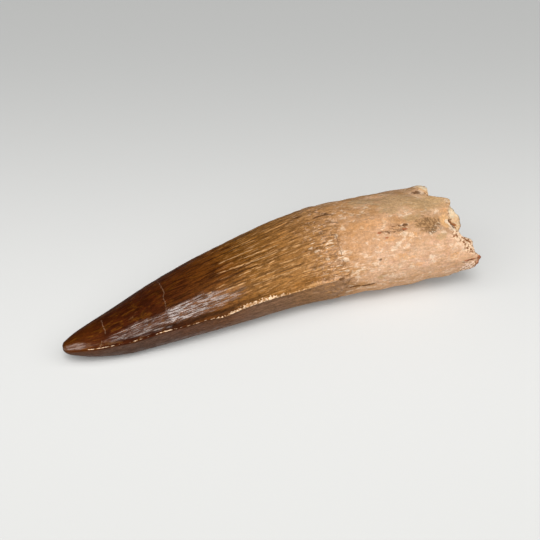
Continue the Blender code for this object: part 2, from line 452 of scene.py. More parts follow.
# The root is bone-like dentine, weathered and cracked.
KNOB_PLACE = (92.6, 2.2)
KNOB_ANGLE = (118.0, 14.0)
KNOB_HEIGHT = 0.9
NOTCH_PLACE = (96.0, 3.6)
NOTCH_ANGLE = (53.0, 11.0)
NOTCH_DEPTH = 1.6
WEAR_DEPTH = 0.8
WEAR_RISE = (78.0, 92.0)
WEAR_ANGLE = (-42.0, 28.0)
CRACK_PLACE = (80.5, 3.6)
CRACK_ANGLE = (55.0, 3.6)
CRACK_DEPTH = 0.45
CRACK_CELL = (0.9, 0.7)
ROOT_LUMPS = 0.22
LUMPS_RISE = (ENAMEL_END, ENAMEL_END + 6.0)
ROOT_GRAIN = 0.16
ROOT_GRAINS = ((0.50, 4.0, 1.6), (0.35, 1.7, 0.8), (0.25, 0.8, 0.6))   # weight, length, width
PITTED_PLACE = (88.6, 2.6)            # a rough, pitted patch before the notch
PITTED_ANGLE = (54.0, 8.0)
PIT_DEPTH = 0.30
PIT_CELL = (0.8, 0.7)
PIT_NOISE = (-0.1, 0.4)


def root_relief(along, angle):
    """Swells, grain, crack, pits, knob and notch of the root, above the plain body."""
    lumps = np.sin(0.55 * along + 1.7 * np.sin(3.0 * angle)) * np.sin(5.0 * angle + 0.21 * along)
    grain = sum(weight * mottle(along, angle, long, wide) for weight, long, wide in ROOT_GRAINS)
    height = (ROOT_LUMPS * lumps * smooth_step(along, *LUMPS_RISE)
              + ROOT_GRAIN * grain * (1.0 - enamel_share(along, angle)))
    height = height - WEAR_DEPTH * smooth_step(along, *WEAR_RISE) * round_bump(angle, *WEAR_ANGLE)
    crack = bump(along, *CRACK_PLACE) * round_bump(angle, *CRACK_ANGLE)
    height = height - CRACK_DEPTH * crack * (1.0 + mottle(along, angle, *CRACK_CELL))
    pits = bump(along, *PITTED_PLACE) * round_bump(angle, *PITTED_ANGLE)
    pits = pits * smooth_step(mottle(along, angle, *PIT_CELL), *PIT_NOISE)
    height = height - PIT_DEPTH * pits
    height = height - NOTCH_DEPTH * bump(along, *NOTCH_PLACE) * round_bump(angle, *NOTCH_ANGLE)
    return height + KNOB_HEIGHT * bump(along, *KNOB_PLACE) * round_bump(angle, *KNOB_ANGLE)


# The root is broken off.  Each chip of its lip is (angle, half width in degrees, reach).
LIP_BASE = 94.6
LIP_CHIPS = (
    (-5.0, 19.0, 5.3),
    (-62.0, 30.0, -4.0),
    (23.0, 15.0, 3.0),
    (79.0, 7.0, 2.2),
    (98.0, 9.0, -2.0),
    (117.0, 14.0, -1.3),
    (150.0, 22.0, 1.4),
    (205.0, 20.0, -2.4),
    (262.0, 24.0, 1.0),
)
LIP_TEETH = 0.3
WALL = (0.10, 0.30)
FILL_LEVEL = LIP_BASE - 2.0
FILL_GAP = 0.6                        # it stays at least this far inside the lip
LOBE_HEIGHT = 8.5
LOBE_ANGLE = (58.0, 27.0)
LOBE_DEPTH = (0.17, 0.12)
PULP_HOLLOW = 2.2
PULP_EDGE = (0.40, 0.75)
FILL_LUMPS = 0.45
BEVEL_DEPTH = 0.9                     # the broken wall slopes inwards near the corner
BEVEL_LENGTH = 2.2
BEVEL_ANGLE = (25.0, 18.0)
BREAK_GRAIN = 0.35
BREAK_RISE = (0.0, 0.08)
SUGAR_CELL = (0.7, 0.6)
BORDER_LENGTH = 1.3 * BEVEL_LENGTH    # how far the sugary surface reaches onto the root
BORDER_SET_BACK = 0.2
BORDER_RAGGED = 0.5
BORDER_CELL = (1.2, 0.9)
BORDER_SOFTNESS = 0.5
CHIPPED_LENGTH = 3.4                  # and its skin has come off under the corner
CHIPPED_ANGLE = (-13.0, 8.0)


def lip(angle):
    """Where the wall breaks off, as a distance along the tooth."""
    edge = LIP_BASE + LIP_TEETH * (np.sin(17.0 * angle + 0.7) + 0.6 * np.sin(31.0 * angle))
    for centre, width, reach in LIP_CHIPS:
        edge = edge + reach * round_bump(angle, centre, width)
    return edge


def end_face(depth, angle):
    """Level of the end face: the wall's lip, then the fill with its lobe and its hollow."""
    crest = lip(angle)
    lobe = round_bump(angle, *LOBE_ANGLE) * bump(depth, *LOBE_DEPTH)
    lumps = np.sin(4.0 * angle + 9.0 * depth) * np.sin(2.0 * angle - 14.0 * depth)
    fill = FILL_LEVEL + LOBE_HEIGHT * lobe + FILL_LUMPS * lumps * (1.0 - depth)
    fill = fill - PULP_HOLLOW * smooth_step(depth, *PULP_EDGE)
    fill = np.minimum(fill, crest - FILL_GAP + LOBE_HEIGHT * lobe)
    rough = (mottle(0.0, angle, 1.0, 1.9, 1.0 - depth)
             + 0.6 * mottle(5.0, angle, 1.0, 0.9, 1.0 - depth))
    grain = BREAK_GRAIN * rough * smooth_step(depth, *BREAK_RISE) * (1.0 - 0.8 * lobe)
    return crest + (fill - crest) * smooth_step(depth, *WALL) + grain


def bevel(along, angle):
    """How far the broken wall slopes in: it grows over the last stretch before the lip."""
    edge = lip(angle)
    slope = smooth_step(along, edge - BEVEL_LENGTH, edge) * round_bump(angle, *BEVEL_ANGLE)
    return BEVEL_DEPTH * slope


def granular(along, angle):
    """1 on the sugary broken surface of the wall, with a ragged border."""
    edge = lip(angle)
    border = edge - BORDER_LENGTH * round_bump(angle, *BEVEL_ANGLE) - BORDER_SET_BACK
    border = border - CHIPPED_LENGTH * round_bump(angle, *CHIPPED_ANGLE)
    ragged_place = along + BORDER_RAGGED * mottle(along, angle, *BORDER_CELL)
    return smooth_step(ragged_place, border, border + BORDER_SOFTNESS)


# Its mesh: rings of points from the tip to the middle of the broken end.
COLUMNS = 5 * FLUTES
CROWN_RINGS = 222
CROWN_RING_SPREAD = 1.12
ROOT_RINGS = 98
END_RINGS = 40


def ring_place(ring, angle):
    """Turn a ring's number into its distance along the tooth and its share of the radius."""
    crown = np.clip(ring / CROWN_RINGS, 0.0, 1.0) ** CROWN_RING_SPREAD * ENAMEL_END
    root = np.clip((ring - CROWN_RINGS) / ROOT_RINGS, 0.0, 1.0)
    depth = np.clip((ring - CROWN_RINGS - ROOT_RINGS) / (END_RINGS + 1.0), 0.0, 1.0)
    along = crown + (end_face(depth, angle) - ENAMEL_END) * root
    return along, 1.0 - depth


def skin(ring, angle):
    """Position, in metres, of every point of the skin: an oval round the bent centre line,
    swollen by the relief, lifted by the underside's curl and worn flat where it rests."""
    along, share = ring_place(ring, angle)
    relief = crown_relief(along, angle) + root_relief(along, angle) - bevel(along, angle)
    sugar = mottle(along, angle, *SUGAR_CELL) * granular(along, angle)
    relief = relief + 0.5 * BREAK_GRAIN * sugar
    wide = (half_width(along) + relief) * share
    high = (half_height(along) + relief) * share
    y = bend(along) - wide * np.cos(angle)
    z = lift(along) + half_height(along) + high * np.sin(angle) - RESTING_CUT
    middle_x, middle_y = FOOTPRINT_MIDDLE
    return MILLIMETRE * np.stack([along - middle_x, y - middle_y, np.maximum(z, 0.0)], axis=-1)


def closed_tube(rings, columns):
    """Faces of a tube of rings with a single point at each end, turned outwards."""
    ring = np.arange(rings - 1)[:, None] * columns + 1
    column = np.arange(columns)[None, :]
    after = (column + 1) % columns
    sides = np.stack([ring + column, ring + after, ring + columns + after,
                      ring + columns + column], axis=-1).reshape(-1, 4)
    tip = np.stack([np.zeros(columns, int), 1 + after[0], 1 + column[0]], axis=-1)
    last = 1 + (rings - 1) * columns
    end = np.stack([last + column[0], last + after[0],
                    np.full(columns, rings * columns + 1)], axis=-1)
    return tip.tolist() + sides.tolist() + end.tolist()


rings = CROWN_RINGS + ROOT_RINGS + END_RINGS
grid_ring, grid_angle = np.meshgrid(
    np.arange(1, rings + 1), 2.0 * math.pi * np.arange(COLUMNS) / COLUMNS, indexing="ij")
ring = np.concatenate([[0.0], grid_ring.ravel(), [rings + 1.0]])
angle = np.concatenate([[0.0], grid_angle.ravel(), [0.0]])
along, share = ring_place(ring, angle)

tooth_mesh = bpy.data.meshes.new("fossil_tooth")
tooth_mesh.from_pydata(skin(ring, angle), [], closed_tube(rings, COLUMNS))
tooth_mesh.shade_smooth()
tooth = bpy.data.objects.new("fossil_tooth", tooth_mesh)
bpy.context.scene.collection.objects.link(tooth)


def paint(name, kind, *values):
    """Store values on the skin's points under a name."""
    layer = tooth_mesh.attributes.new(name, kind, "POINT")
    key = "vector" if kind == "FLOAT_VECTOR" else "color"
    layer.data.foreach_set(key, np.stack(values, axis=-1).astype(np.float32).ravel())


# The marks on it, a few of them painted shadow, shade and glints.  A crack or line is a row of
# (distance from the tip, angle).  A spot is (distance, angle, half length, half width in
# degrees).
CROSS_CRACKS = (
    ((10, 104), (9.7, 56)),
    ((8.5, 43), (8, 22)),
    ((25.3, 120), (25.3, 83), (24.6, 78), (24.2, 50)),
    ((66.9, 64), (66.7, 22)),
)
LONG_CRACKS_AND_SHADOW_LINE = (
    ((15.5, 65), (18, 75)),
    ((77, 53), (79.5, 51), (83, 51)),
    ((80, 59), (84, 57)),
    ((95, -1), (100, 2)),
    # not a crack: painted shadow, a dark line on the underside below the root's pale patch
    ((67, -12), (72, -15), (75, -12)),
)
# pale lines along the flutes: partly worn crests, partly painted glints on them
PALE_LINES_AND_GLINTS = (
    ((38, 73), (49, 68), (59, 65)),
    ((34, 50), (43, 58), (52, 58)),
    ((38, 46), (56, 45)),
    ((45, 38), (60, 37)),
    ((39, 87), (49, 86)),
    ((44, 79), (54, 76)),
    ((50, 52), (62, 50)),
    ((57, 31), (63, 29)),
    ((69, 20), (75, 18)),
    ((69, 13), (77, 10)),
    ((68, 6), (74, 2)),
    ((73, 25), (79, 23)),
    ((76, 4), (82, 2)),
)
DARK_LINES = (
    ((28, 96), (33, 90)),
    ((27, 81), (31, 78)),
    ((26, 66), (31, 64)),
    ((32, 75), (38, 75)),
    ((40, 63), (48, 61)),
    ((39, 29), (45, 22)),
    ((50, 42), (58, 41)),
    ((34, 104), (42, 101)),
)
# Mostly cream spots; those at 60.5 to 63.5 mm are painted glints on the lifting enamel flakes.
CREAM_SPOTS_AND_GLINTS = (
    (67, 61, 0.5, 3), (67, 40, 0.6, 3), (67.5, 30, 0.8, 3), (74, 17, 1.4, 3),
    (80.5, 37, 0.8, 2), (82.5, 47, 0.9, 3), (84, 44, 1.0, 3), (83, 4, 1.0, 2),
    (76.5, -3, 0.8, 2), (78.5, -1, 0.6, 1.5), (91.5, 103, 1.0, 5), (92.5, 114, 1.4, 9),
    (88, 14, 0.8, 2), (79.5, 33, 1.2, 3), (61.5, 50, 0.7, 1), (60.5, 56, 0.5, 1),
    (63.5, 36, 0.6, 1), (94, 46, 0.5, 5), (94, 58, 0.5, 4), (92, 42, 1.0, 1.5),
)
ORANGE_SPOTS = (
    (81, 22, 1.6, 3), (82.5, 17, 1.6, 2), (93, 54, 1.3, 7), (93, 12, 1.5, 4),
    (93.5, 68, 0.8, 3), (44, 24, 4.5, 3), (58, 17, 5.0, 4), (70.5, 56, 1.0, 2),
    (84.5, 6, 1.5, 3), (79, 43, 1.5, 3), (75, 66, 4.0, 6), (84.5, 44, 1.6, 3),
)
RED_SPOTS = (
    (77, 53, 0.6, 1.5), (83, 52, 0.6, 1.5), (78, 45, 0.6, 1), (99.3, -9, 0.6, 7),
    (97.5, 1, 1.6, 1.5), (99.5, 2, 0.5, 4),
)
GREY_SPOTS = (
    (83.5, 94, 5.0, 13), (89, 82, 3.5, 9), (81.5, 78, 2.5, 5), (88.5, 54, 2.6, 8),
    (75.5, -5, 1.0, 4), (91, 37, 1.5, 4), (86, 64, 2.5, 4), (77, 104, 4.0, 8),
)
# Mostly stains; 69.5 and 72.5 mm are painted shadow, 94.7 and 94.9 mm painted shade by the lobe.
DARK_SPOTS_AND_SHADE = (
    (66, 6, 0.9, 2.5), (65, 22, 0.4, 1), (75.5, 21, 0.4, 1), (90.5, 104, 0.9, 4),
    (72.5, -14, 1.8, 2), (69.5, -13, 1.2, 1), (54, 31, 0.8, 1), (66, 94, 1.8, 1.5),
    (61.5, 106, 1.6, 1.5), (83.5, 57, 0.5, 2), (11, 26, 1.6, 3), (94.7, 55, 0.25, 5),
    (94.9, 47, 0.2, 3), (8, 27, 0.5, 4),
)
YELLOW_SPOTS = (
    (96.5, 76, 0.4, 5), (96, 66, 0.6, 4), (93, 112, 1.1, 8),
)
RIDGE_WEAR = (                        # how pale the ridge is worn: distance from the tip, weight
    (4.6, 0.0), (5.4, 0.80), (8.0, 0.62), (10.0, 0.72), (12.0, 0.50), (14.5, 0.42), (16.0, 0.72),
    (17.5, 0.45), (20.5, 0.48), (21.5, 0.85), (24.0, 0.90), (25.0, 0.55), (29.0, 0.62),
    (33.0, 0.50), (35.0, 0.72), (37.0, 0.60), (39.5, 0.95), (43.0, 1.10), (47.0, 0.95),
    (50.5, 0.72), (55.0, 0.58), (60.0, 0.40), (66.0, 0.0),
)
POLISH = (                            # the shiny band: distance, lower and upper angle, weight
    (0.5, 14, 70, 0.58), (3.0, 20, 60, 0.60), (5.0, 26, 46, 0.12), (8.2, 29, 39, 0.0),
    (10.0, 29, 46, 0.15), (13.0, 28, 50, 0.50), (16.0, 26, 54, 0.55), (21.0, 22, 50, 0.50),
    (24.2, 21, 50, 0.50), (24.9, 24, 53, 0.84), (29.0, 23, 53, 0.74), (34.0, 23, 53, 0.52),
    (37.5, 27, 48, 0.45), (40.5, 30, 44, 0.33), (44.0, 33, 40, 0.0),
)
CRACK_JAG = 0.20                      # how far the cracks across the tooth stray
JAG_CELL = (1.0, 0.25)
CRACK_ENDS = (1.0, 3.0)               # they fade from past their last point to before it
LINE_ENDS = (0.3, 0.6)                # and so do the lines along it
LONG_CRACK_JAG = 0.12
PALE_LINE_JAG = 0.10
DARK_LINE_JAG = 0.15
FAR_OFF = 9.0

# The tinted stretches.  A SHARE is (share of the radius, half width) on the broken end, and a
# REACH is (distance past the lip, half width).
WORN_HALF_WIDTH = 0.20                # the ridge's worn line, which is widest at one place
WORN_SWELL = 0.52
WORN_PLACE = (45.0, 7.5)
# painted shade: a brown line in the hollow just above the near ridge
GROOVE_OFFSET = (1.2, 0.8)            # a brown line on the skin just above it
GROOVE_RISE = (9.0, 15.0)
GROOVE_FADE = (38.0, 50.0)
BELOW_RISE = (0.2, 0.9)               # the face below the near ridge
POLISH_SOFT_LOWER = 3.0               # how softly the shiny band's two edges end
POLISH_SOFT_UPPER = 2.5
UNDERSIDE_POLISH = (0.10, 0.30)       # that face's faint shine, and its gain further under
UNDERSIDE_RISE = (4.0, 22.0)
UNDERSIDE_FADE = (20.0, 60.0)
# painted sheen: where a paler amber is laid on the face that turns towards the camera
SHEEN_PLACE = (47.0, 14.0)
SHEEN_ANGLE = (36.0, 24.0)
OLIVE_PLACE = (92.5, 6.0)
OLIVE_ANGLE = (84.0, 14.0)
SCOOP_PLACE = (93.4, 1.5)
SCOOP_ANGLE = (55.0, 9.0)
PITTED_TINT_PLACE = (88.8, 2.8)
PITTED_TINT_ANGLE = (54.0, 9.5)
PALE_SIDE_RISE = (68.0, 80.0)
PALE_SIDE_ANGLE = (15.0, 38.0)
PALE_RIM_REACH = (-0.35, 0.55)
PALE_RIM_ANGLE = (51.0, 11.0)
DARK_LIP_REACH = (0.0, 0.45)
DARK_LIP_ANGLE = (-9.0, 11.0)
CHIPS_RISE = (95.0, 96.4)
CHIPS_ANGLE = (-11.0, 9.0)
LOBE_TINT_RISE = (0.55, 0.70)
LOBE_TINT_ANGLE = (58.0, 32.0)
LOBE_RIM_SHARE = (0.785, 0.045)
LOBE_RIM_ANGLE = (46.0, 18.0)
# painted shade in the crevice between the wall's lip and the lobe
GAP_SHARE = (0.87, 0.04)
GAP_ANGLE = (51.0, 12.0)
SIDE_RISE = (0.93, 0.99)              # shares of the radius where the end face turns to side


def between(value, rise, fall):
    """Rise from 0 to 1 over one stretch and fall back to 0 over another."""
    return smooth_step(value, *rise) * (1.0 - smooth_step(value, *fall))


def spots(marks):
    """The strongest of soft ovals at each point of the skin."""
    strength = 0.0
    for place, turn, long, wide in marks:
        oval = bump(along, place, long) * round_bump(angle, turn, wide)
        strength = np.maximum(strength, oval)
    return strength


def nearest(lines):
    """Signed distance from the nearest of some lines, and 1 between that line's ends.  Each is
    given as its distance, its place on its own course, the course's two ends and their fade."""
    offset, strength = np.full_like(along, FAR_OFF), np.zeros_like(along)
    for near, course, (first, last), (past, before) in lines:
        inside = between(course, (first - past, first + before), (last - before, last + past))
        closer = (np.abs(near) < np.abs(offset)) & (inside > 0.0)
        offset = np.where(closer, near, offset)
        strength = np.where(closer, inside, strength)
    return offset, strength


def across(paths):
    """Cracks across the tooth, by their distance along it: a crack's place is read off its row
    of points at each angle, and noise makes it jagged."""
    lines = []
    for path in paths:
        places, turns = np.transpose(path[::-1])
        near = along - np.interp(turn, turns, places) + CRACK_JAG * mottle(2.0, angle, *JAG_CELL)
        lines.append((near, turn, (turns[0], turns[-1]), CRACK_ENDS))
    return nearest(lines)


def lengthwise(paths, jagged):
    """Lines along the tooth, by their distance round it."""
    lines = []
    for path in paths:
        places, turns = np.transpose(path)
        near = np.radians(turn - np.interp(along, places, turns)) * half_width(along)
        near = near + jagged * mottle(along, angle, 0.8, 9.0)
        lines.append((near, along, (places[0], places[-1]), LINE_ENDS))
    return nearest(lines)


# Soft masks of the skin's features.  Distances are in millimetres and angles in degrees.
turn = np.degrees(turn_between(angle, 0.5 * math.pi)) + 90.0      # from -90 to 270
on_side = smooth_step(share, *SIDE_RISE)
enamel = enamel_share(along, angle) * on_side
offset = ridge_offset(along, angle)
worn_width = WORN_HALF_WIDTH + WORN_SWELL * bump(along, *WORN_PLACE)
places, worn = np.transpose(RIDGE_WEAR)
ridge = bump(offset, 0.0, worn_width) * np.interp(along, places, worn)
groove_shade = bump(offset, *GROOVE_OFFSET) * between(along, GROOVE_RISE, GROOVE_FADE)
below = smooth_step(-offset, *BELOW_RISE) * np.where(np.abs(turn) < 75.0, 1.0, 0.0)
places, lower, upper, weight = np.transpose(POLISH)
lower, upper, weight = (np.interp(along, places, row) for row in (lower, upper, weight))
torn = 3.0 * mottle(along, angle, 3.0, 0.7) + 1.5 * mottle(along, angle, 0.9, 0.5)
polish = weight * between(turn + torn, (lower - POLISH_SOFT_LOWER, lower + POLISH_SOFT_LOWER),
                          (upper - POLISH_SOFT_UPPER, upper + POLISH_SOFT_UPPER))
dimmest, gain = UNDERSIDE_POLISH
underside = dimmest + gain * smooth_step(-turn, *UNDERSIDE_RISE)
underside = underside * (1.0 - smooth_step(along, *UNDERSIDE_FADE))
polish = np.maximum(polish, underside * below)
past_lip = along - lip(angle)
# painted sheen on the face towards the camera
painted_sheen = bump(along, *SHEEN_PLACE) * round_bump(angle, *SHEEN_ANGLE) * on_side
olive = bump(along, *OLIVE_PLACE) * round_bump(angle, *OLIVE_ANGLE) * on_side
scoop = bump(along, *SCOOP_PLACE) * round_bump(angle, *SCOOP_ANGLE) * on_side
pitted = bump(along, *PITTED_TINT_PLACE) * round_bump(angle, *PITTED_TINT_ANGLE) * on_side
pale_side = smooth_step(along, *PALE_SIDE_RISE) * round_bump(angle, *PALE_SIDE_ANGLE)
rim = bump(past_lip, *PALE_RIM_REACH) * round_bump(angle, *PALE_RIM_ANGLE) * on_side
dark_lip = bump(past_lip, *DARK_LIP_REACH) * round_bump(angle, *DARK_LIP_ANGLE)
chips = smooth_step(along, *CHIPS_RISE) * round_bump(angle, *CHIPS_ANGLE)
lobe = smooth_step(share, *LOBE_TINT_RISE) * round_bump(angle, *LOBE_TINT_ANGLE)
lobe = lobe * (1.0 - on_side)
# partly orange-brown spots and partly painted shade along the lobe's edge
lobe_rim_stain_and_shade = bump(share, *LOBE_RIM_SHARE) * round_bump(angle, *LOBE_RIM_ANGLE)
gap_shade_mask = bump(share, *GAP_SHARE) * round_bump(angle, *GAP_ANGLE)

paint("skin", "FLOAT_VECTOR", along, SKIN_RADIUS * share * np.cos(angle),
      SKIN_RADIUS * share * np.sin(angle))
paint("form", "FLOAT_COLOR", rim, ridge, enamel,
      np.maximum(1.0 - on_side, granular(along, angle)))
paint("cracks", "FLOAT_COLOR", *across(CROSS_CRACKS), *lengthwise(LONG_CRACKS_AND_SHADOW_LINE, LONG_CRACK_JAG))
paint("lines", "FLOAT_COLOR", *lengthwise(PALE_LINES_AND_GLINTS, PALE_LINE_JAG),
      *lengthwise(DARK_LINES, DARK_LINE_JAG))
paint("marks", "FLOAT_COLOR", spots(CREAM_SPOTS_AND_GLINTS), spots(ORANGE_SPOTS), spots(RED_SPOTS),
      spots(GREY_SPOTS))
paint("stains", "FLOAT_COLOR", spots(DARK_SPOTS_AND_SHADE),
      np.maximum(spots(YELLOW_SPOTS) * smooth_step(share, 0.85, 0.93), lobe), groove_shade, polish)
paint("broken", "FLOAT_COLOR", lobe_rim_stain_and_shade, chips, dark_lip, share)
paint("sides", "FLOAT_COLOR", below, pale_side, bump(along, *FLAKE_PLACE), pitted)
paint("hollow", "FLOAT_COLOR", scoop, painted_sheen, gap_shade_mask, olive)

# Its finish.  The ramp gives the fossil's colour from the tip to the lip, before the streaks.
FOSSIL_TONES = (
    (0.00, (0.080, 0.020, 0.0025)),   # the worn orange-brown tip
    (0.07, (0.074, 0.016, 0.0022)),
    (0.11, (0.056, 0.011, 0.0020)),   # the darkest stretch
    (0.21, (0.062, 0.012, 0.0020)),
    (0.30, (0.096, 0.024, 0.0038)),
    (0.39, (0.156, 0.048, 0.0060)),
    (0.47, (0.240, 0.096, 0.0160)),   # golden brown
    (0.57, (0.345, 0.156, 0.0430)),
    (0.67, (0.465, 0.234, 0.0900)),   # the enamel gives way to tan dentine
    (0.78, (0.525, 0.295, 0.1380)),
    (1.00, (0.520, 0.310, 0.1700)),
)
GOLD = (0.150, 0.050, 0.0040)
STREAK_DARK = (0.030, 0.006, 0.0015)
CREST_TAN = (0.60, 0.35, 0.16)
RIDGE_CREAM = (0.86, 0.61, 0.40)
RIDGE_TAN = (0.50, 0.26, 0.11)
GROOVE_SHADE_BROWN = (0.026, 0.006, 0.0015)
# a warm tone, partly dust and partly painted highlight, laid over the shiny band
DUST_AND_HIGHLIGHT = (0.24, 0.120, 0.065)
PINK = (0.655, 0.395, 0.242)
PALE_PINK = (0.755, 0.488, 0.320)
ROSE = (0.62, 0.350, 0.235)
WARM_TAN = (0.56, 0.285, 0.125)
TAN = (0.43, 0.215, 0.085)
CREAM = (0.88, 0.69, 0.50)
ORANGE = (0.68, 0.33, 0.12)
AMBER = (0.34, 0.140, 0.028)
SHEEN_AMBER = (0.52, 0.27, 0.10)
# painted shade and painted floor reflection for the face below the near ridge
BELOW_SHADE_BROWN = (0.104, 0.070, 0.050)
BELOW_REFLECTION_GREY = (0.18, 0.13, 0.12)
DULL_BROWN = (0.215, 0.120, 0.066)
RED = (0.36, 0.09, 0.03)
GREY = (0.48, 0.305, 0.150)
DARK = (0.13, 0.055, 0.020)
YELLOW = (0.84, 0.56, 0.30)
LOBE_CREAM = (0.93, 0.73, 0.49)
OLIVE_TAN = (0.64, 0.43, 0.21)
SCOOP_TAN = (0.76, 0.44, 0.20)
PITTED_BROWN = (0.38, 0.200, 0.085)
PORE_BROWN = (0.25, 0.120, 0.045)
CRACK_PALE = (0.24, 0.13, 0.075)
CHIP_PINK = (0.90, 0.67, 0.54)
BREAK_STONE = (0.84, 0.59, 0.39)
BREAK_DARK = (0.32, 0.125, 0.045)
FILL_SAND = (0.50, 0.285, 0.155)
FILL_DARK = (0.26, 0.125, 0.060)
COAT_ROUGHNESS = 0.22
COAT_IOR = 2.7
SPECULAR_LEVEL = 0.03
ENAMEL_ROUGHNESS = 0.55
ROOT_ROUGHNESS = 0.90
GRAIN_HEIGHT = 0.00018

fossil = bpy.data.materials.new("fossil enamel and dentine")
fossil.use_nodes = True
tooth_mesh.materials.append(fossil)
shader = fossil.node_tree.nodes["Principled BSDF"]
shader.inputs["Coat Roughness"].default_value = COAT_ROUGHNESS
shader.inputs["Coat IOR"].default_value = COAT_IOR
shader.inputs["Specular IOR Level"].default_value = SPECULAR_LEVEL
brush = Tone(fossil.node_tree)


def channels(name):
    """The four values painted on the skin under a name."""
    colour = brush.node("Attribute", {"attribute_name": name})
    parts = brush.node("SeparateColor", {}, {"Color": colour})
    split = parts.socket.node
    last = Tone(brush.tree, colour.socket.node.outputs["Alpha"])
    return [Tone(brush.tree, split.outputs[i]) for i in range(3)] + [last]


skin_place = brush.node("Attribute", {"attribute_name": "skin"}, output=1)


def grain(long, wide, detail=2.0, distortion=0.0, shift=0.0):
    """Noise around 0.5 whose grains are so long and so wide, in millimetres."""
    scaled = brush.node("VectorMath", {"operation": "MULTIPLY_ADD"},
                        {0: skin_place, 1: (1.0 / long, 1.0 / wide, 1.0 / wide),
                         2: (shift, shift, shift)}, output=0)
    return brush.node("TexNoise", {}, {"Vector": scaled, "Scale": 1.0, "Detail": detail,
                                       "Roughness": 0.55, "Distortion": distortion})


pale_rim, carina, crown, break_face = channels("form")
cross_offset, cross_crack, long_offset, long_crack_and_shadow = channels("cracks")
pale_offset, pale_line_and_glint, dark_offset, dark_line = channels("lines")
cream_spot_and_glint, orange_spot, red_spot, grey_spot = channels("marks")
dark_spot_and_shade, yellow_spot, groove_painted_shade, shine = channels("stains")
face_below, pale_face, flaking, pits = channels("sides")
orange_scoop, painted_sheen_lift, gap_painted_shade, olive_side = channels("hollow")
rim_stain_and_shade, pale_chips, brown_lip, inwards = channels("broken")
place = brush.node("SeparateXYZ", {}, {"Vector": skin_place}, output=0)
front = Tone(brush.tree, place.socket.node.outputs[1])

# The grains that break the colours up, from blotches down to specks.
blotch = grain(7.0, 3.0, 3.0)
patch = grain(2.6, 1.3, 3.0)
crumb = grain(1.3, 0.8, 2.0, 0.3, 31.0)
streak = grain(7.0, 0.55, 2.0, 0.2, 17.0)
fibre = grain(1.8, 0.40, 2.0, 0.3)
speck = grain(0.50, 0.40, 2.0, 0.0, 5.0)
cloud = grain(2.4, 1.7, 2.0, 0.4, 43.0)
bead = grain(0.9, 0.6, 1.0, 0.0, 61.0)
vein = grain(2.2, 1.5, 2.0, 0.8, 73.0)
thread = grain(5.0, 0.27, 1.0, 0.2, 89.0)
dash = grain(1.9, 0.30, 1.0, 0.0, 23.0)
wrinkle = grain(2.6, 0.31, 1.0, 0.4, 11.0)
root = 1.0 - crown
above = 1.0 - face_below


def ragged(mark, edge=0.40):
    """Turn a soft mark into one with a torn edge, by noise of three sizes."""
    torn = mark + (patch - 0.5) * 1.2 + (crumb - 0.5) * 1.6 + (speck - 0.5) * 1.0
    return torn.smooth(edge - 0.10, edge + 0.14) * mark.smooth(0.05, 0.30)


# Enamel: the ramp, then patches, streaks and drawn lines along the flutes.
tone = brush.node("ValToRGB", {"blend": "LINEAR", "stops": FOSSIL_TONES},
                  {"Fac": place * 0.01 + (blotch - 0.5) * 0.10 * place.smooth(8.0, 30.0)})
gold_patch = patch.smooth(0.50, 0.62) * (1.0 - place.smooth(22.0, 40.0)) * above
tone = (gold_patch * 0.55).mix(tone, GOLD)
dark_patch = (cloud + (speck - 0.5) * 0.5).smooth(0.50, 0.60) * above
dark_patch = dark_patch * place.between((6.0, 12.0), (20.0, 34.0))
tone = (dark_patch * 0.70).mix(tone, STREAK_DARK)
dark_streak = (1.0 - streak).smooth(0.50, 0.60) * place.smooth(16.0, 28.0) * above * crown
tone = (dark_streak * (0.70 - 0.35 * place.smooth(36.0, 56.0))).mix(tone, STREAK_DARK)
# pale threads along the flutes: partly worn crests, partly painted glints
pale_thread_and_glint = thread.smooth(0.56, 0.63) * fibre.smooth(0.44, 0.54) * place.smooth(34.0, 48.0)
tone = (pale_thread_and_glint * above * crown * 0.40).mix(tone, CREST_TAN)
dark_thread = (1.0 - thread).smooth(0.56, 0.66) * place.smooth(20.0, 34.0)
tone = (dark_thread * above * crown * 0.40).mix(tone, STREAK_DARK)
# the listed pale lines, partly painted glints
drawn_pale_and_glint = (1.0 - abs(pale_offset).smooth(0.05, 0.19)) * pale_line_and_glint * fibre.smooth(0.40, 0.52)
tone = (drawn_pale_and_glint * 0.7).mix(tone, crown.mix(CREAM, CREST_TAN))
drawn_dark = (1.0 - abs(dark_offset).smooth(0.10, 0.30)) * dark_line
tone = (drawn_dark * 0.7).mix(tone, STREAK_DARK)
# painted shade in the hollow above the near ridge
tone = (groove_painted_shade * 0.85).mix(tone, GROOVE_SHADE_BROWN)
# painted shade: the far, upper side of the crown near the tip is darkened
far_side_shade = (2.0 - front).smooth(0.0, 4.0) * (1.0 - place.smooth(12.0, 26.0))
tone = (far_side_shade * 0.40).mix(tone, STREAK_DARK)
# painted sheen: the face towards the camera is lifted to a paler amber
tone = (painted_sheen_lift * 0.22 * above).mix(tone, SHEEN_AMBER)
# painted shade and floor reflection: the face below the ridge is dulled, and greyed midway along
below_painted_shade = 0.42 + 0.10 * place.between((6.0, 10.0), (20.0, 28.0))
tone = (face_below * crown * below_painted_shade).mix(tone, BELOW_SHADE_BROWN)
below_painted_reflection = place.between((36.0, 46.0), (52.0, 60.0)) * 0.25
tone = (face_below * below_painted_reflection).mix(tone, BELOW_REFLECTION_GREY)

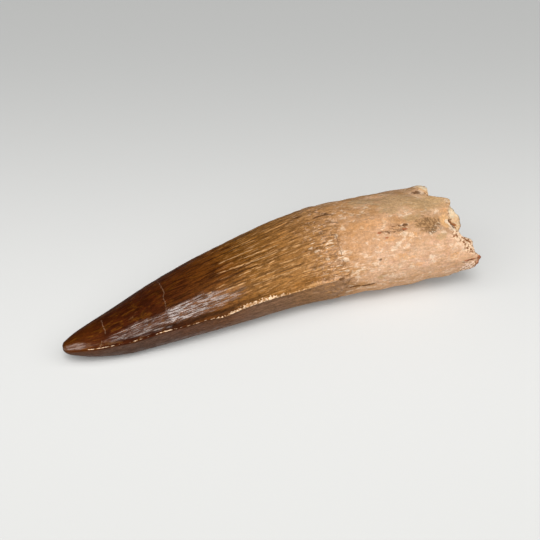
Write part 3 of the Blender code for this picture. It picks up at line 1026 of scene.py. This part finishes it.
# Root.  Its colours begin in torn patches on both sides of the enamel's edge, where flecks of
# enamel cling.  The spots and the pitted patch lie over them.  Faded is how far they have
# taken over.
faded = place + (patch - 0.5) * 18.0 + (crumb - 0.5) * 16.0 + (front - 6.0) * 0.5
faded = faded.smooth(60.0, 78.0)
warm = faded.between((0.05, 0.40), (0.45, 0.95))
dull_face = (face_below + (crumb - 0.5)).smooth(0.3, 0.7)
dull_face = dull_face * place.between((54.0, 62.0), (66.0, 72.0))
tone = (warm * above * 0.45).mix(tone, WARM_TAN)
tone = (blotch.smooth(0.42, 0.58) * faded * 0.75).mix(tone, PINK)
tone = (pale_face * faded * 0.65).mix(tone, PALE_PINK)
tone = ((1.0 - patch).smooth(0.50, 0.62) * faded * 0.32).mix(tone, TAN)
tone = (cloud.smooth(0.52, 0.60) * faded * 0.16).mix(tone, ORANGE)
tone = ((1.0 - cloud).smooth(0.50, 0.62) * faded * 0.34).mix(tone, PALE_PINK)
rosy = vein.smooth(0.48, 0.60) * (0.5 + 0.5 * blotch.smooth(0.44, 0.56))
tone = (rosy * faded * pale_face * 0.45).mix(tone, ROSE)
shoulder = front.between((2.5, 4.5), (7.0, 9.0)) * above
shoulder = shoulder * place.between((65.0, 70.0), (83.0, 88.0))
tone = (shoulder * 0.34).mix(tone, WARM_TAN)
tone = (dull_face * 0.55).mix(tone, DULL_BROWN)
tone = (olive_side * 0.6).mix(tone, OLIVE_TAN)
cream_crumb = crumb.smooth(0.52, 0.60) * patch.smooth(0.47, 0.55) * root
tone = (cream_crumb * (0.24 + 0.24 * faded)).mix(tone, CREAM)
thin_vein = 1.0 - abs(vein - 0.5).smooth(0.0, 0.03)
tone = (thin_vein * root * speck.smooth(0.42, 0.54) * 0.5).mix(tone, TAN)
flake = bead.smooth(0.56, 0.62) * flaking * above * speck.smooth(0.40, 0.52)
tone = (flake * 0.55).mix(tone, PALE_PINK)
tone = ((1.0 - crumb).smooth(0.54, 0.62) * flaking * 0.6).mix(tone, TAN)
# partly painted glints: pale dashes on the flaking enamel, with dark flecks between
dashed = flaking.smooth(0.20, 0.70) * above * front.smooth(1.5, 5.0)
tone = (dash.smooth(0.58, 0.64) * cloud.smooth(0.47, 0.56) * dashed * 0.65).mix(tone, CREAM)
tone = ((1.0 - dash).smooth(0.61, 0.67) * dashed * 0.50).mix(tone, DARK)
tone = (ragged(grey_spot) * 0.7).mix(tone, GREY)
tone = (ragged(orange_spot) * 0.40).mix(tone, crown.mix(ORANGE, AMBER))
tone = (ragged(cream_spot_and_glint) * 0.44).mix(tone, CREAM)
pitted = ragged(pits, 0.30)
tone = (pitted * 0.65).mix(tone, PITTED_BROWN)
pores = (1.0 - speck).smooth(0.48, 0.58)
tone = (pitted * pores * 0.45).mix(tone, PORE_BROWN)
crystal = speck.smooth(0.50, 0.56) * (place + (front - 6.4) * 2.5).smooth(89.2, 91.0)
tone = (pitted * crystal * 0.70).mix(tone, CREAM)

# Broken end: the sugary wall, the sandy fill and the seam between them, then the scoop, the lobe
# with painted light on top, painted shade in the crevice below it and the lip's stains and chips.
sugar = (speck + (crumb - 0.5) * 0.6).smooth(0.36, 0.52)
tone = break_face.mix(tone, sugar.mix(BREAK_DARK, BREAK_STONE))
sand = (patch * 0.5 + cloud * 0.5 + (speck - 0.5) * 0.6).smooth(0.42, 0.58)
fill_edge = inwards + (crumb - 0.5) * 0.25
stone = (1.0 - fill_edge.smooth(0.66, 0.74)) * break_face
tone = stone.mix(tone, sand.mix(FILL_DARK, FILL_SAND))
tone = (stone * speck.smooth(0.56, 0.62) * 0.7).mix(tone, CREAM)
seam = (1.0 - abs(fill_edge - 0.74).smooth(0.0, 0.05)) * break_face
tone = (seam * 0.6).mix(tone, FILL_DARK)
tone = (orange_scoop.smooth(0.3, 0.6) * 0.8).mix(tone, SCOOP_TAN)
stained = (patch + (speck - 0.5) * 0.8).smooth(0.46, 0.60) * 0.45
# painted light: the lobe is paler cream towards its top and yellower below
lobe_painted_light = (front + (crumb - 0.5) * 6.0).smooth(7.0, 4.0).mix(YELLOW, LOBE_CREAM)
lobe = yellow_spot + (crumb - 0.5) * 0.6 + (speck - 0.5) * 0.5
tone = (lobe.smooth(0.10, 0.30) * yellow_spot.smooth(0.0, 0.15) * 0.7).mix(tone, SCOOP_TAN)
tone = lobe.smooth(0.30, 0.55).mix(tone, stained.mix(lobe_painted_light, SCOOP_TAN))
# tan along the lobe's edge: partly the stone's spots, partly painted shade
rim_stain_and_shade_tone = rim_stain_and_shade * (0.35 + 0.65 * (bead + (speck - 0.5) * 0.6).smooth(0.44, 0.56))
tone = rim_stain_and_shade_tone.mix(tone, TAN)
# painted shade: a dark band in the narrow crevice between the wall's lip and the lobe
brown = (gap_painted_shade + (bead - 0.5) * 1.2).smooth(0.35, 0.60) * gap_painted_shade.smooth(0.10, 0.40)
tone = brown.mix(tone, BREAK_DARK)
smudge = (pale_rim + (bead - 0.5) * 1.6).smooth(0.25, 0.60) * pale_rim.smooth(0.10, 0.40)
tone = (smudge * 0.85).mix(tone, CREAM)
chip = (crumb + (speck - 0.5) * 0.8).smooth(0.44, 0.54) * pale_chips.smooth(0.25, 0.55)
tone = (chip * 0.85).mix(tone, CHIP_PINK)
tone = (brown_lip * 0.75).mix(tone, BREAK_DARK)
tone = (ragged(red_spot) * 0.75).mix(tone, RED)
# dark stains, with painted shadow and shade at a few of the spots
tone = (ragged(dark_spot_and_shade) * 0.8).mix(tone, DARK)

# Cracks, a painted shadow line, the ridge's worn line, dust and painted highlight, grain over
# all.
cross_line = (1.0 - abs(cross_offset).smooth(0.04, 0.14)) * cross_crack
tone = (cross_line * speck.smooth(0.36, 0.54) * 0.85).mix(tone, CRACK_PALE)
# dark cracks, and one painted shadow line on the underside
long_line = (1.0 - abs(long_offset + (crumb - 0.5) * 1.6).smooth(0.06, 0.34)) * long_crack_and_shadow
tone = (long_line * (bead + speck - 0.5).smooth(0.38, 0.54) * 0.85).mix(tone, DARK)
ribs = brush.math("SINE", (place + crumb * 1.4) * (2.0 * math.pi / DENTICLE_PITCH))
worn_ridge = carina + (speck + bead - 1.0) * (0.6 + 0.4 * place.smooth(30.0, 38.0))
worn_ridge = worn_ridge + ribs * 0.12 * place.smooth(30.0, 40.0)
worn_ridge = worn_ridge.smooth(0.44, 0.66) * carina.smooth(0.05, 0.2)
ridge_tone = speck.smooth(0.46, 0.56) * (1.0 - 0.6 * place.smooth(47.0, 54.0))
tone = worn_ridge.mix(tone, ridge_tone.mix(RIDGE_TAN, RIDGE_CREAM))
glint = wrinkle.smooth(0.46, 0.57) * (0.65 + 0.35 * speck.smooth(0.42, 0.54))
# painted highlight with dust: the shiny band's colour is lifted to a warm tone, most on the
# wrinkles
tone = (shine * above * (0.25 + 0.35 * glint)).mix(tone, DUST_AND_HIGHLIGHT)
fine = (fibre.smooth(0.38, 0.62) - 0.5) * 0.42 * (1.0 - 0.7 * root)
fine = fine + (speck.smooth(0.38, 0.62) - 0.5) * (0.26 - 0.06 * root)
tone = brush.node("VectorMath", {"operation": "SCALE"}, {0: tone, "Scale": 1.0 + fine})
fossil.node_tree.links.new(tone.socket, shader.inputs["Base Color"])

# The shiny band is a hard coat, broken by the wrinkles, patchy near the tip and worn off the
# ridge.
patchy = (patch.smooth(0.42, 0.58) + place.smooth(22.0, 26.0)).smooth(0.0, 1.0)
coat = shine * (0.06 + 0.94 * glint) * (0.25 + 0.75 * patchy)
coat = coat * (1.0 - worn_ridge)
fossil.node_tree.links.new(coat.socket, shader.inputs["Coat Weight"])
rough = ENAMEL_ROUGHNESS + (ROOT_ROUGHNESS - ENAMEL_ROUGHNESS) * root
fossil.node_tree.links.new(rough.socket, shader.inputs["Roughness"])

# The finest relief, which the mesh is too coarse for.
wrinkles = glint * crown * place.smooth(6.0, 26.0) * (above + 0.15) * 0.4
pitting = (speck * 0.9 + fibre * 0.5 + crumb * 1.3 + patch) * root * 1.2 - pores * pitted * 0.6
height = wrinkles + pitting + flake * 0.5 - cross_line * 0.3 - long_line * 0.8 + crystal * pitted
relief = brush.node("Bump", {}, {"Strength": 1.0, "Distance": GRAIN_HEIGHT, "Height": height})
fossil.node_tree.links.new(relief.socket, shader.inputs["Normal"])

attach(tooth, "root")
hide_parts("tooth")
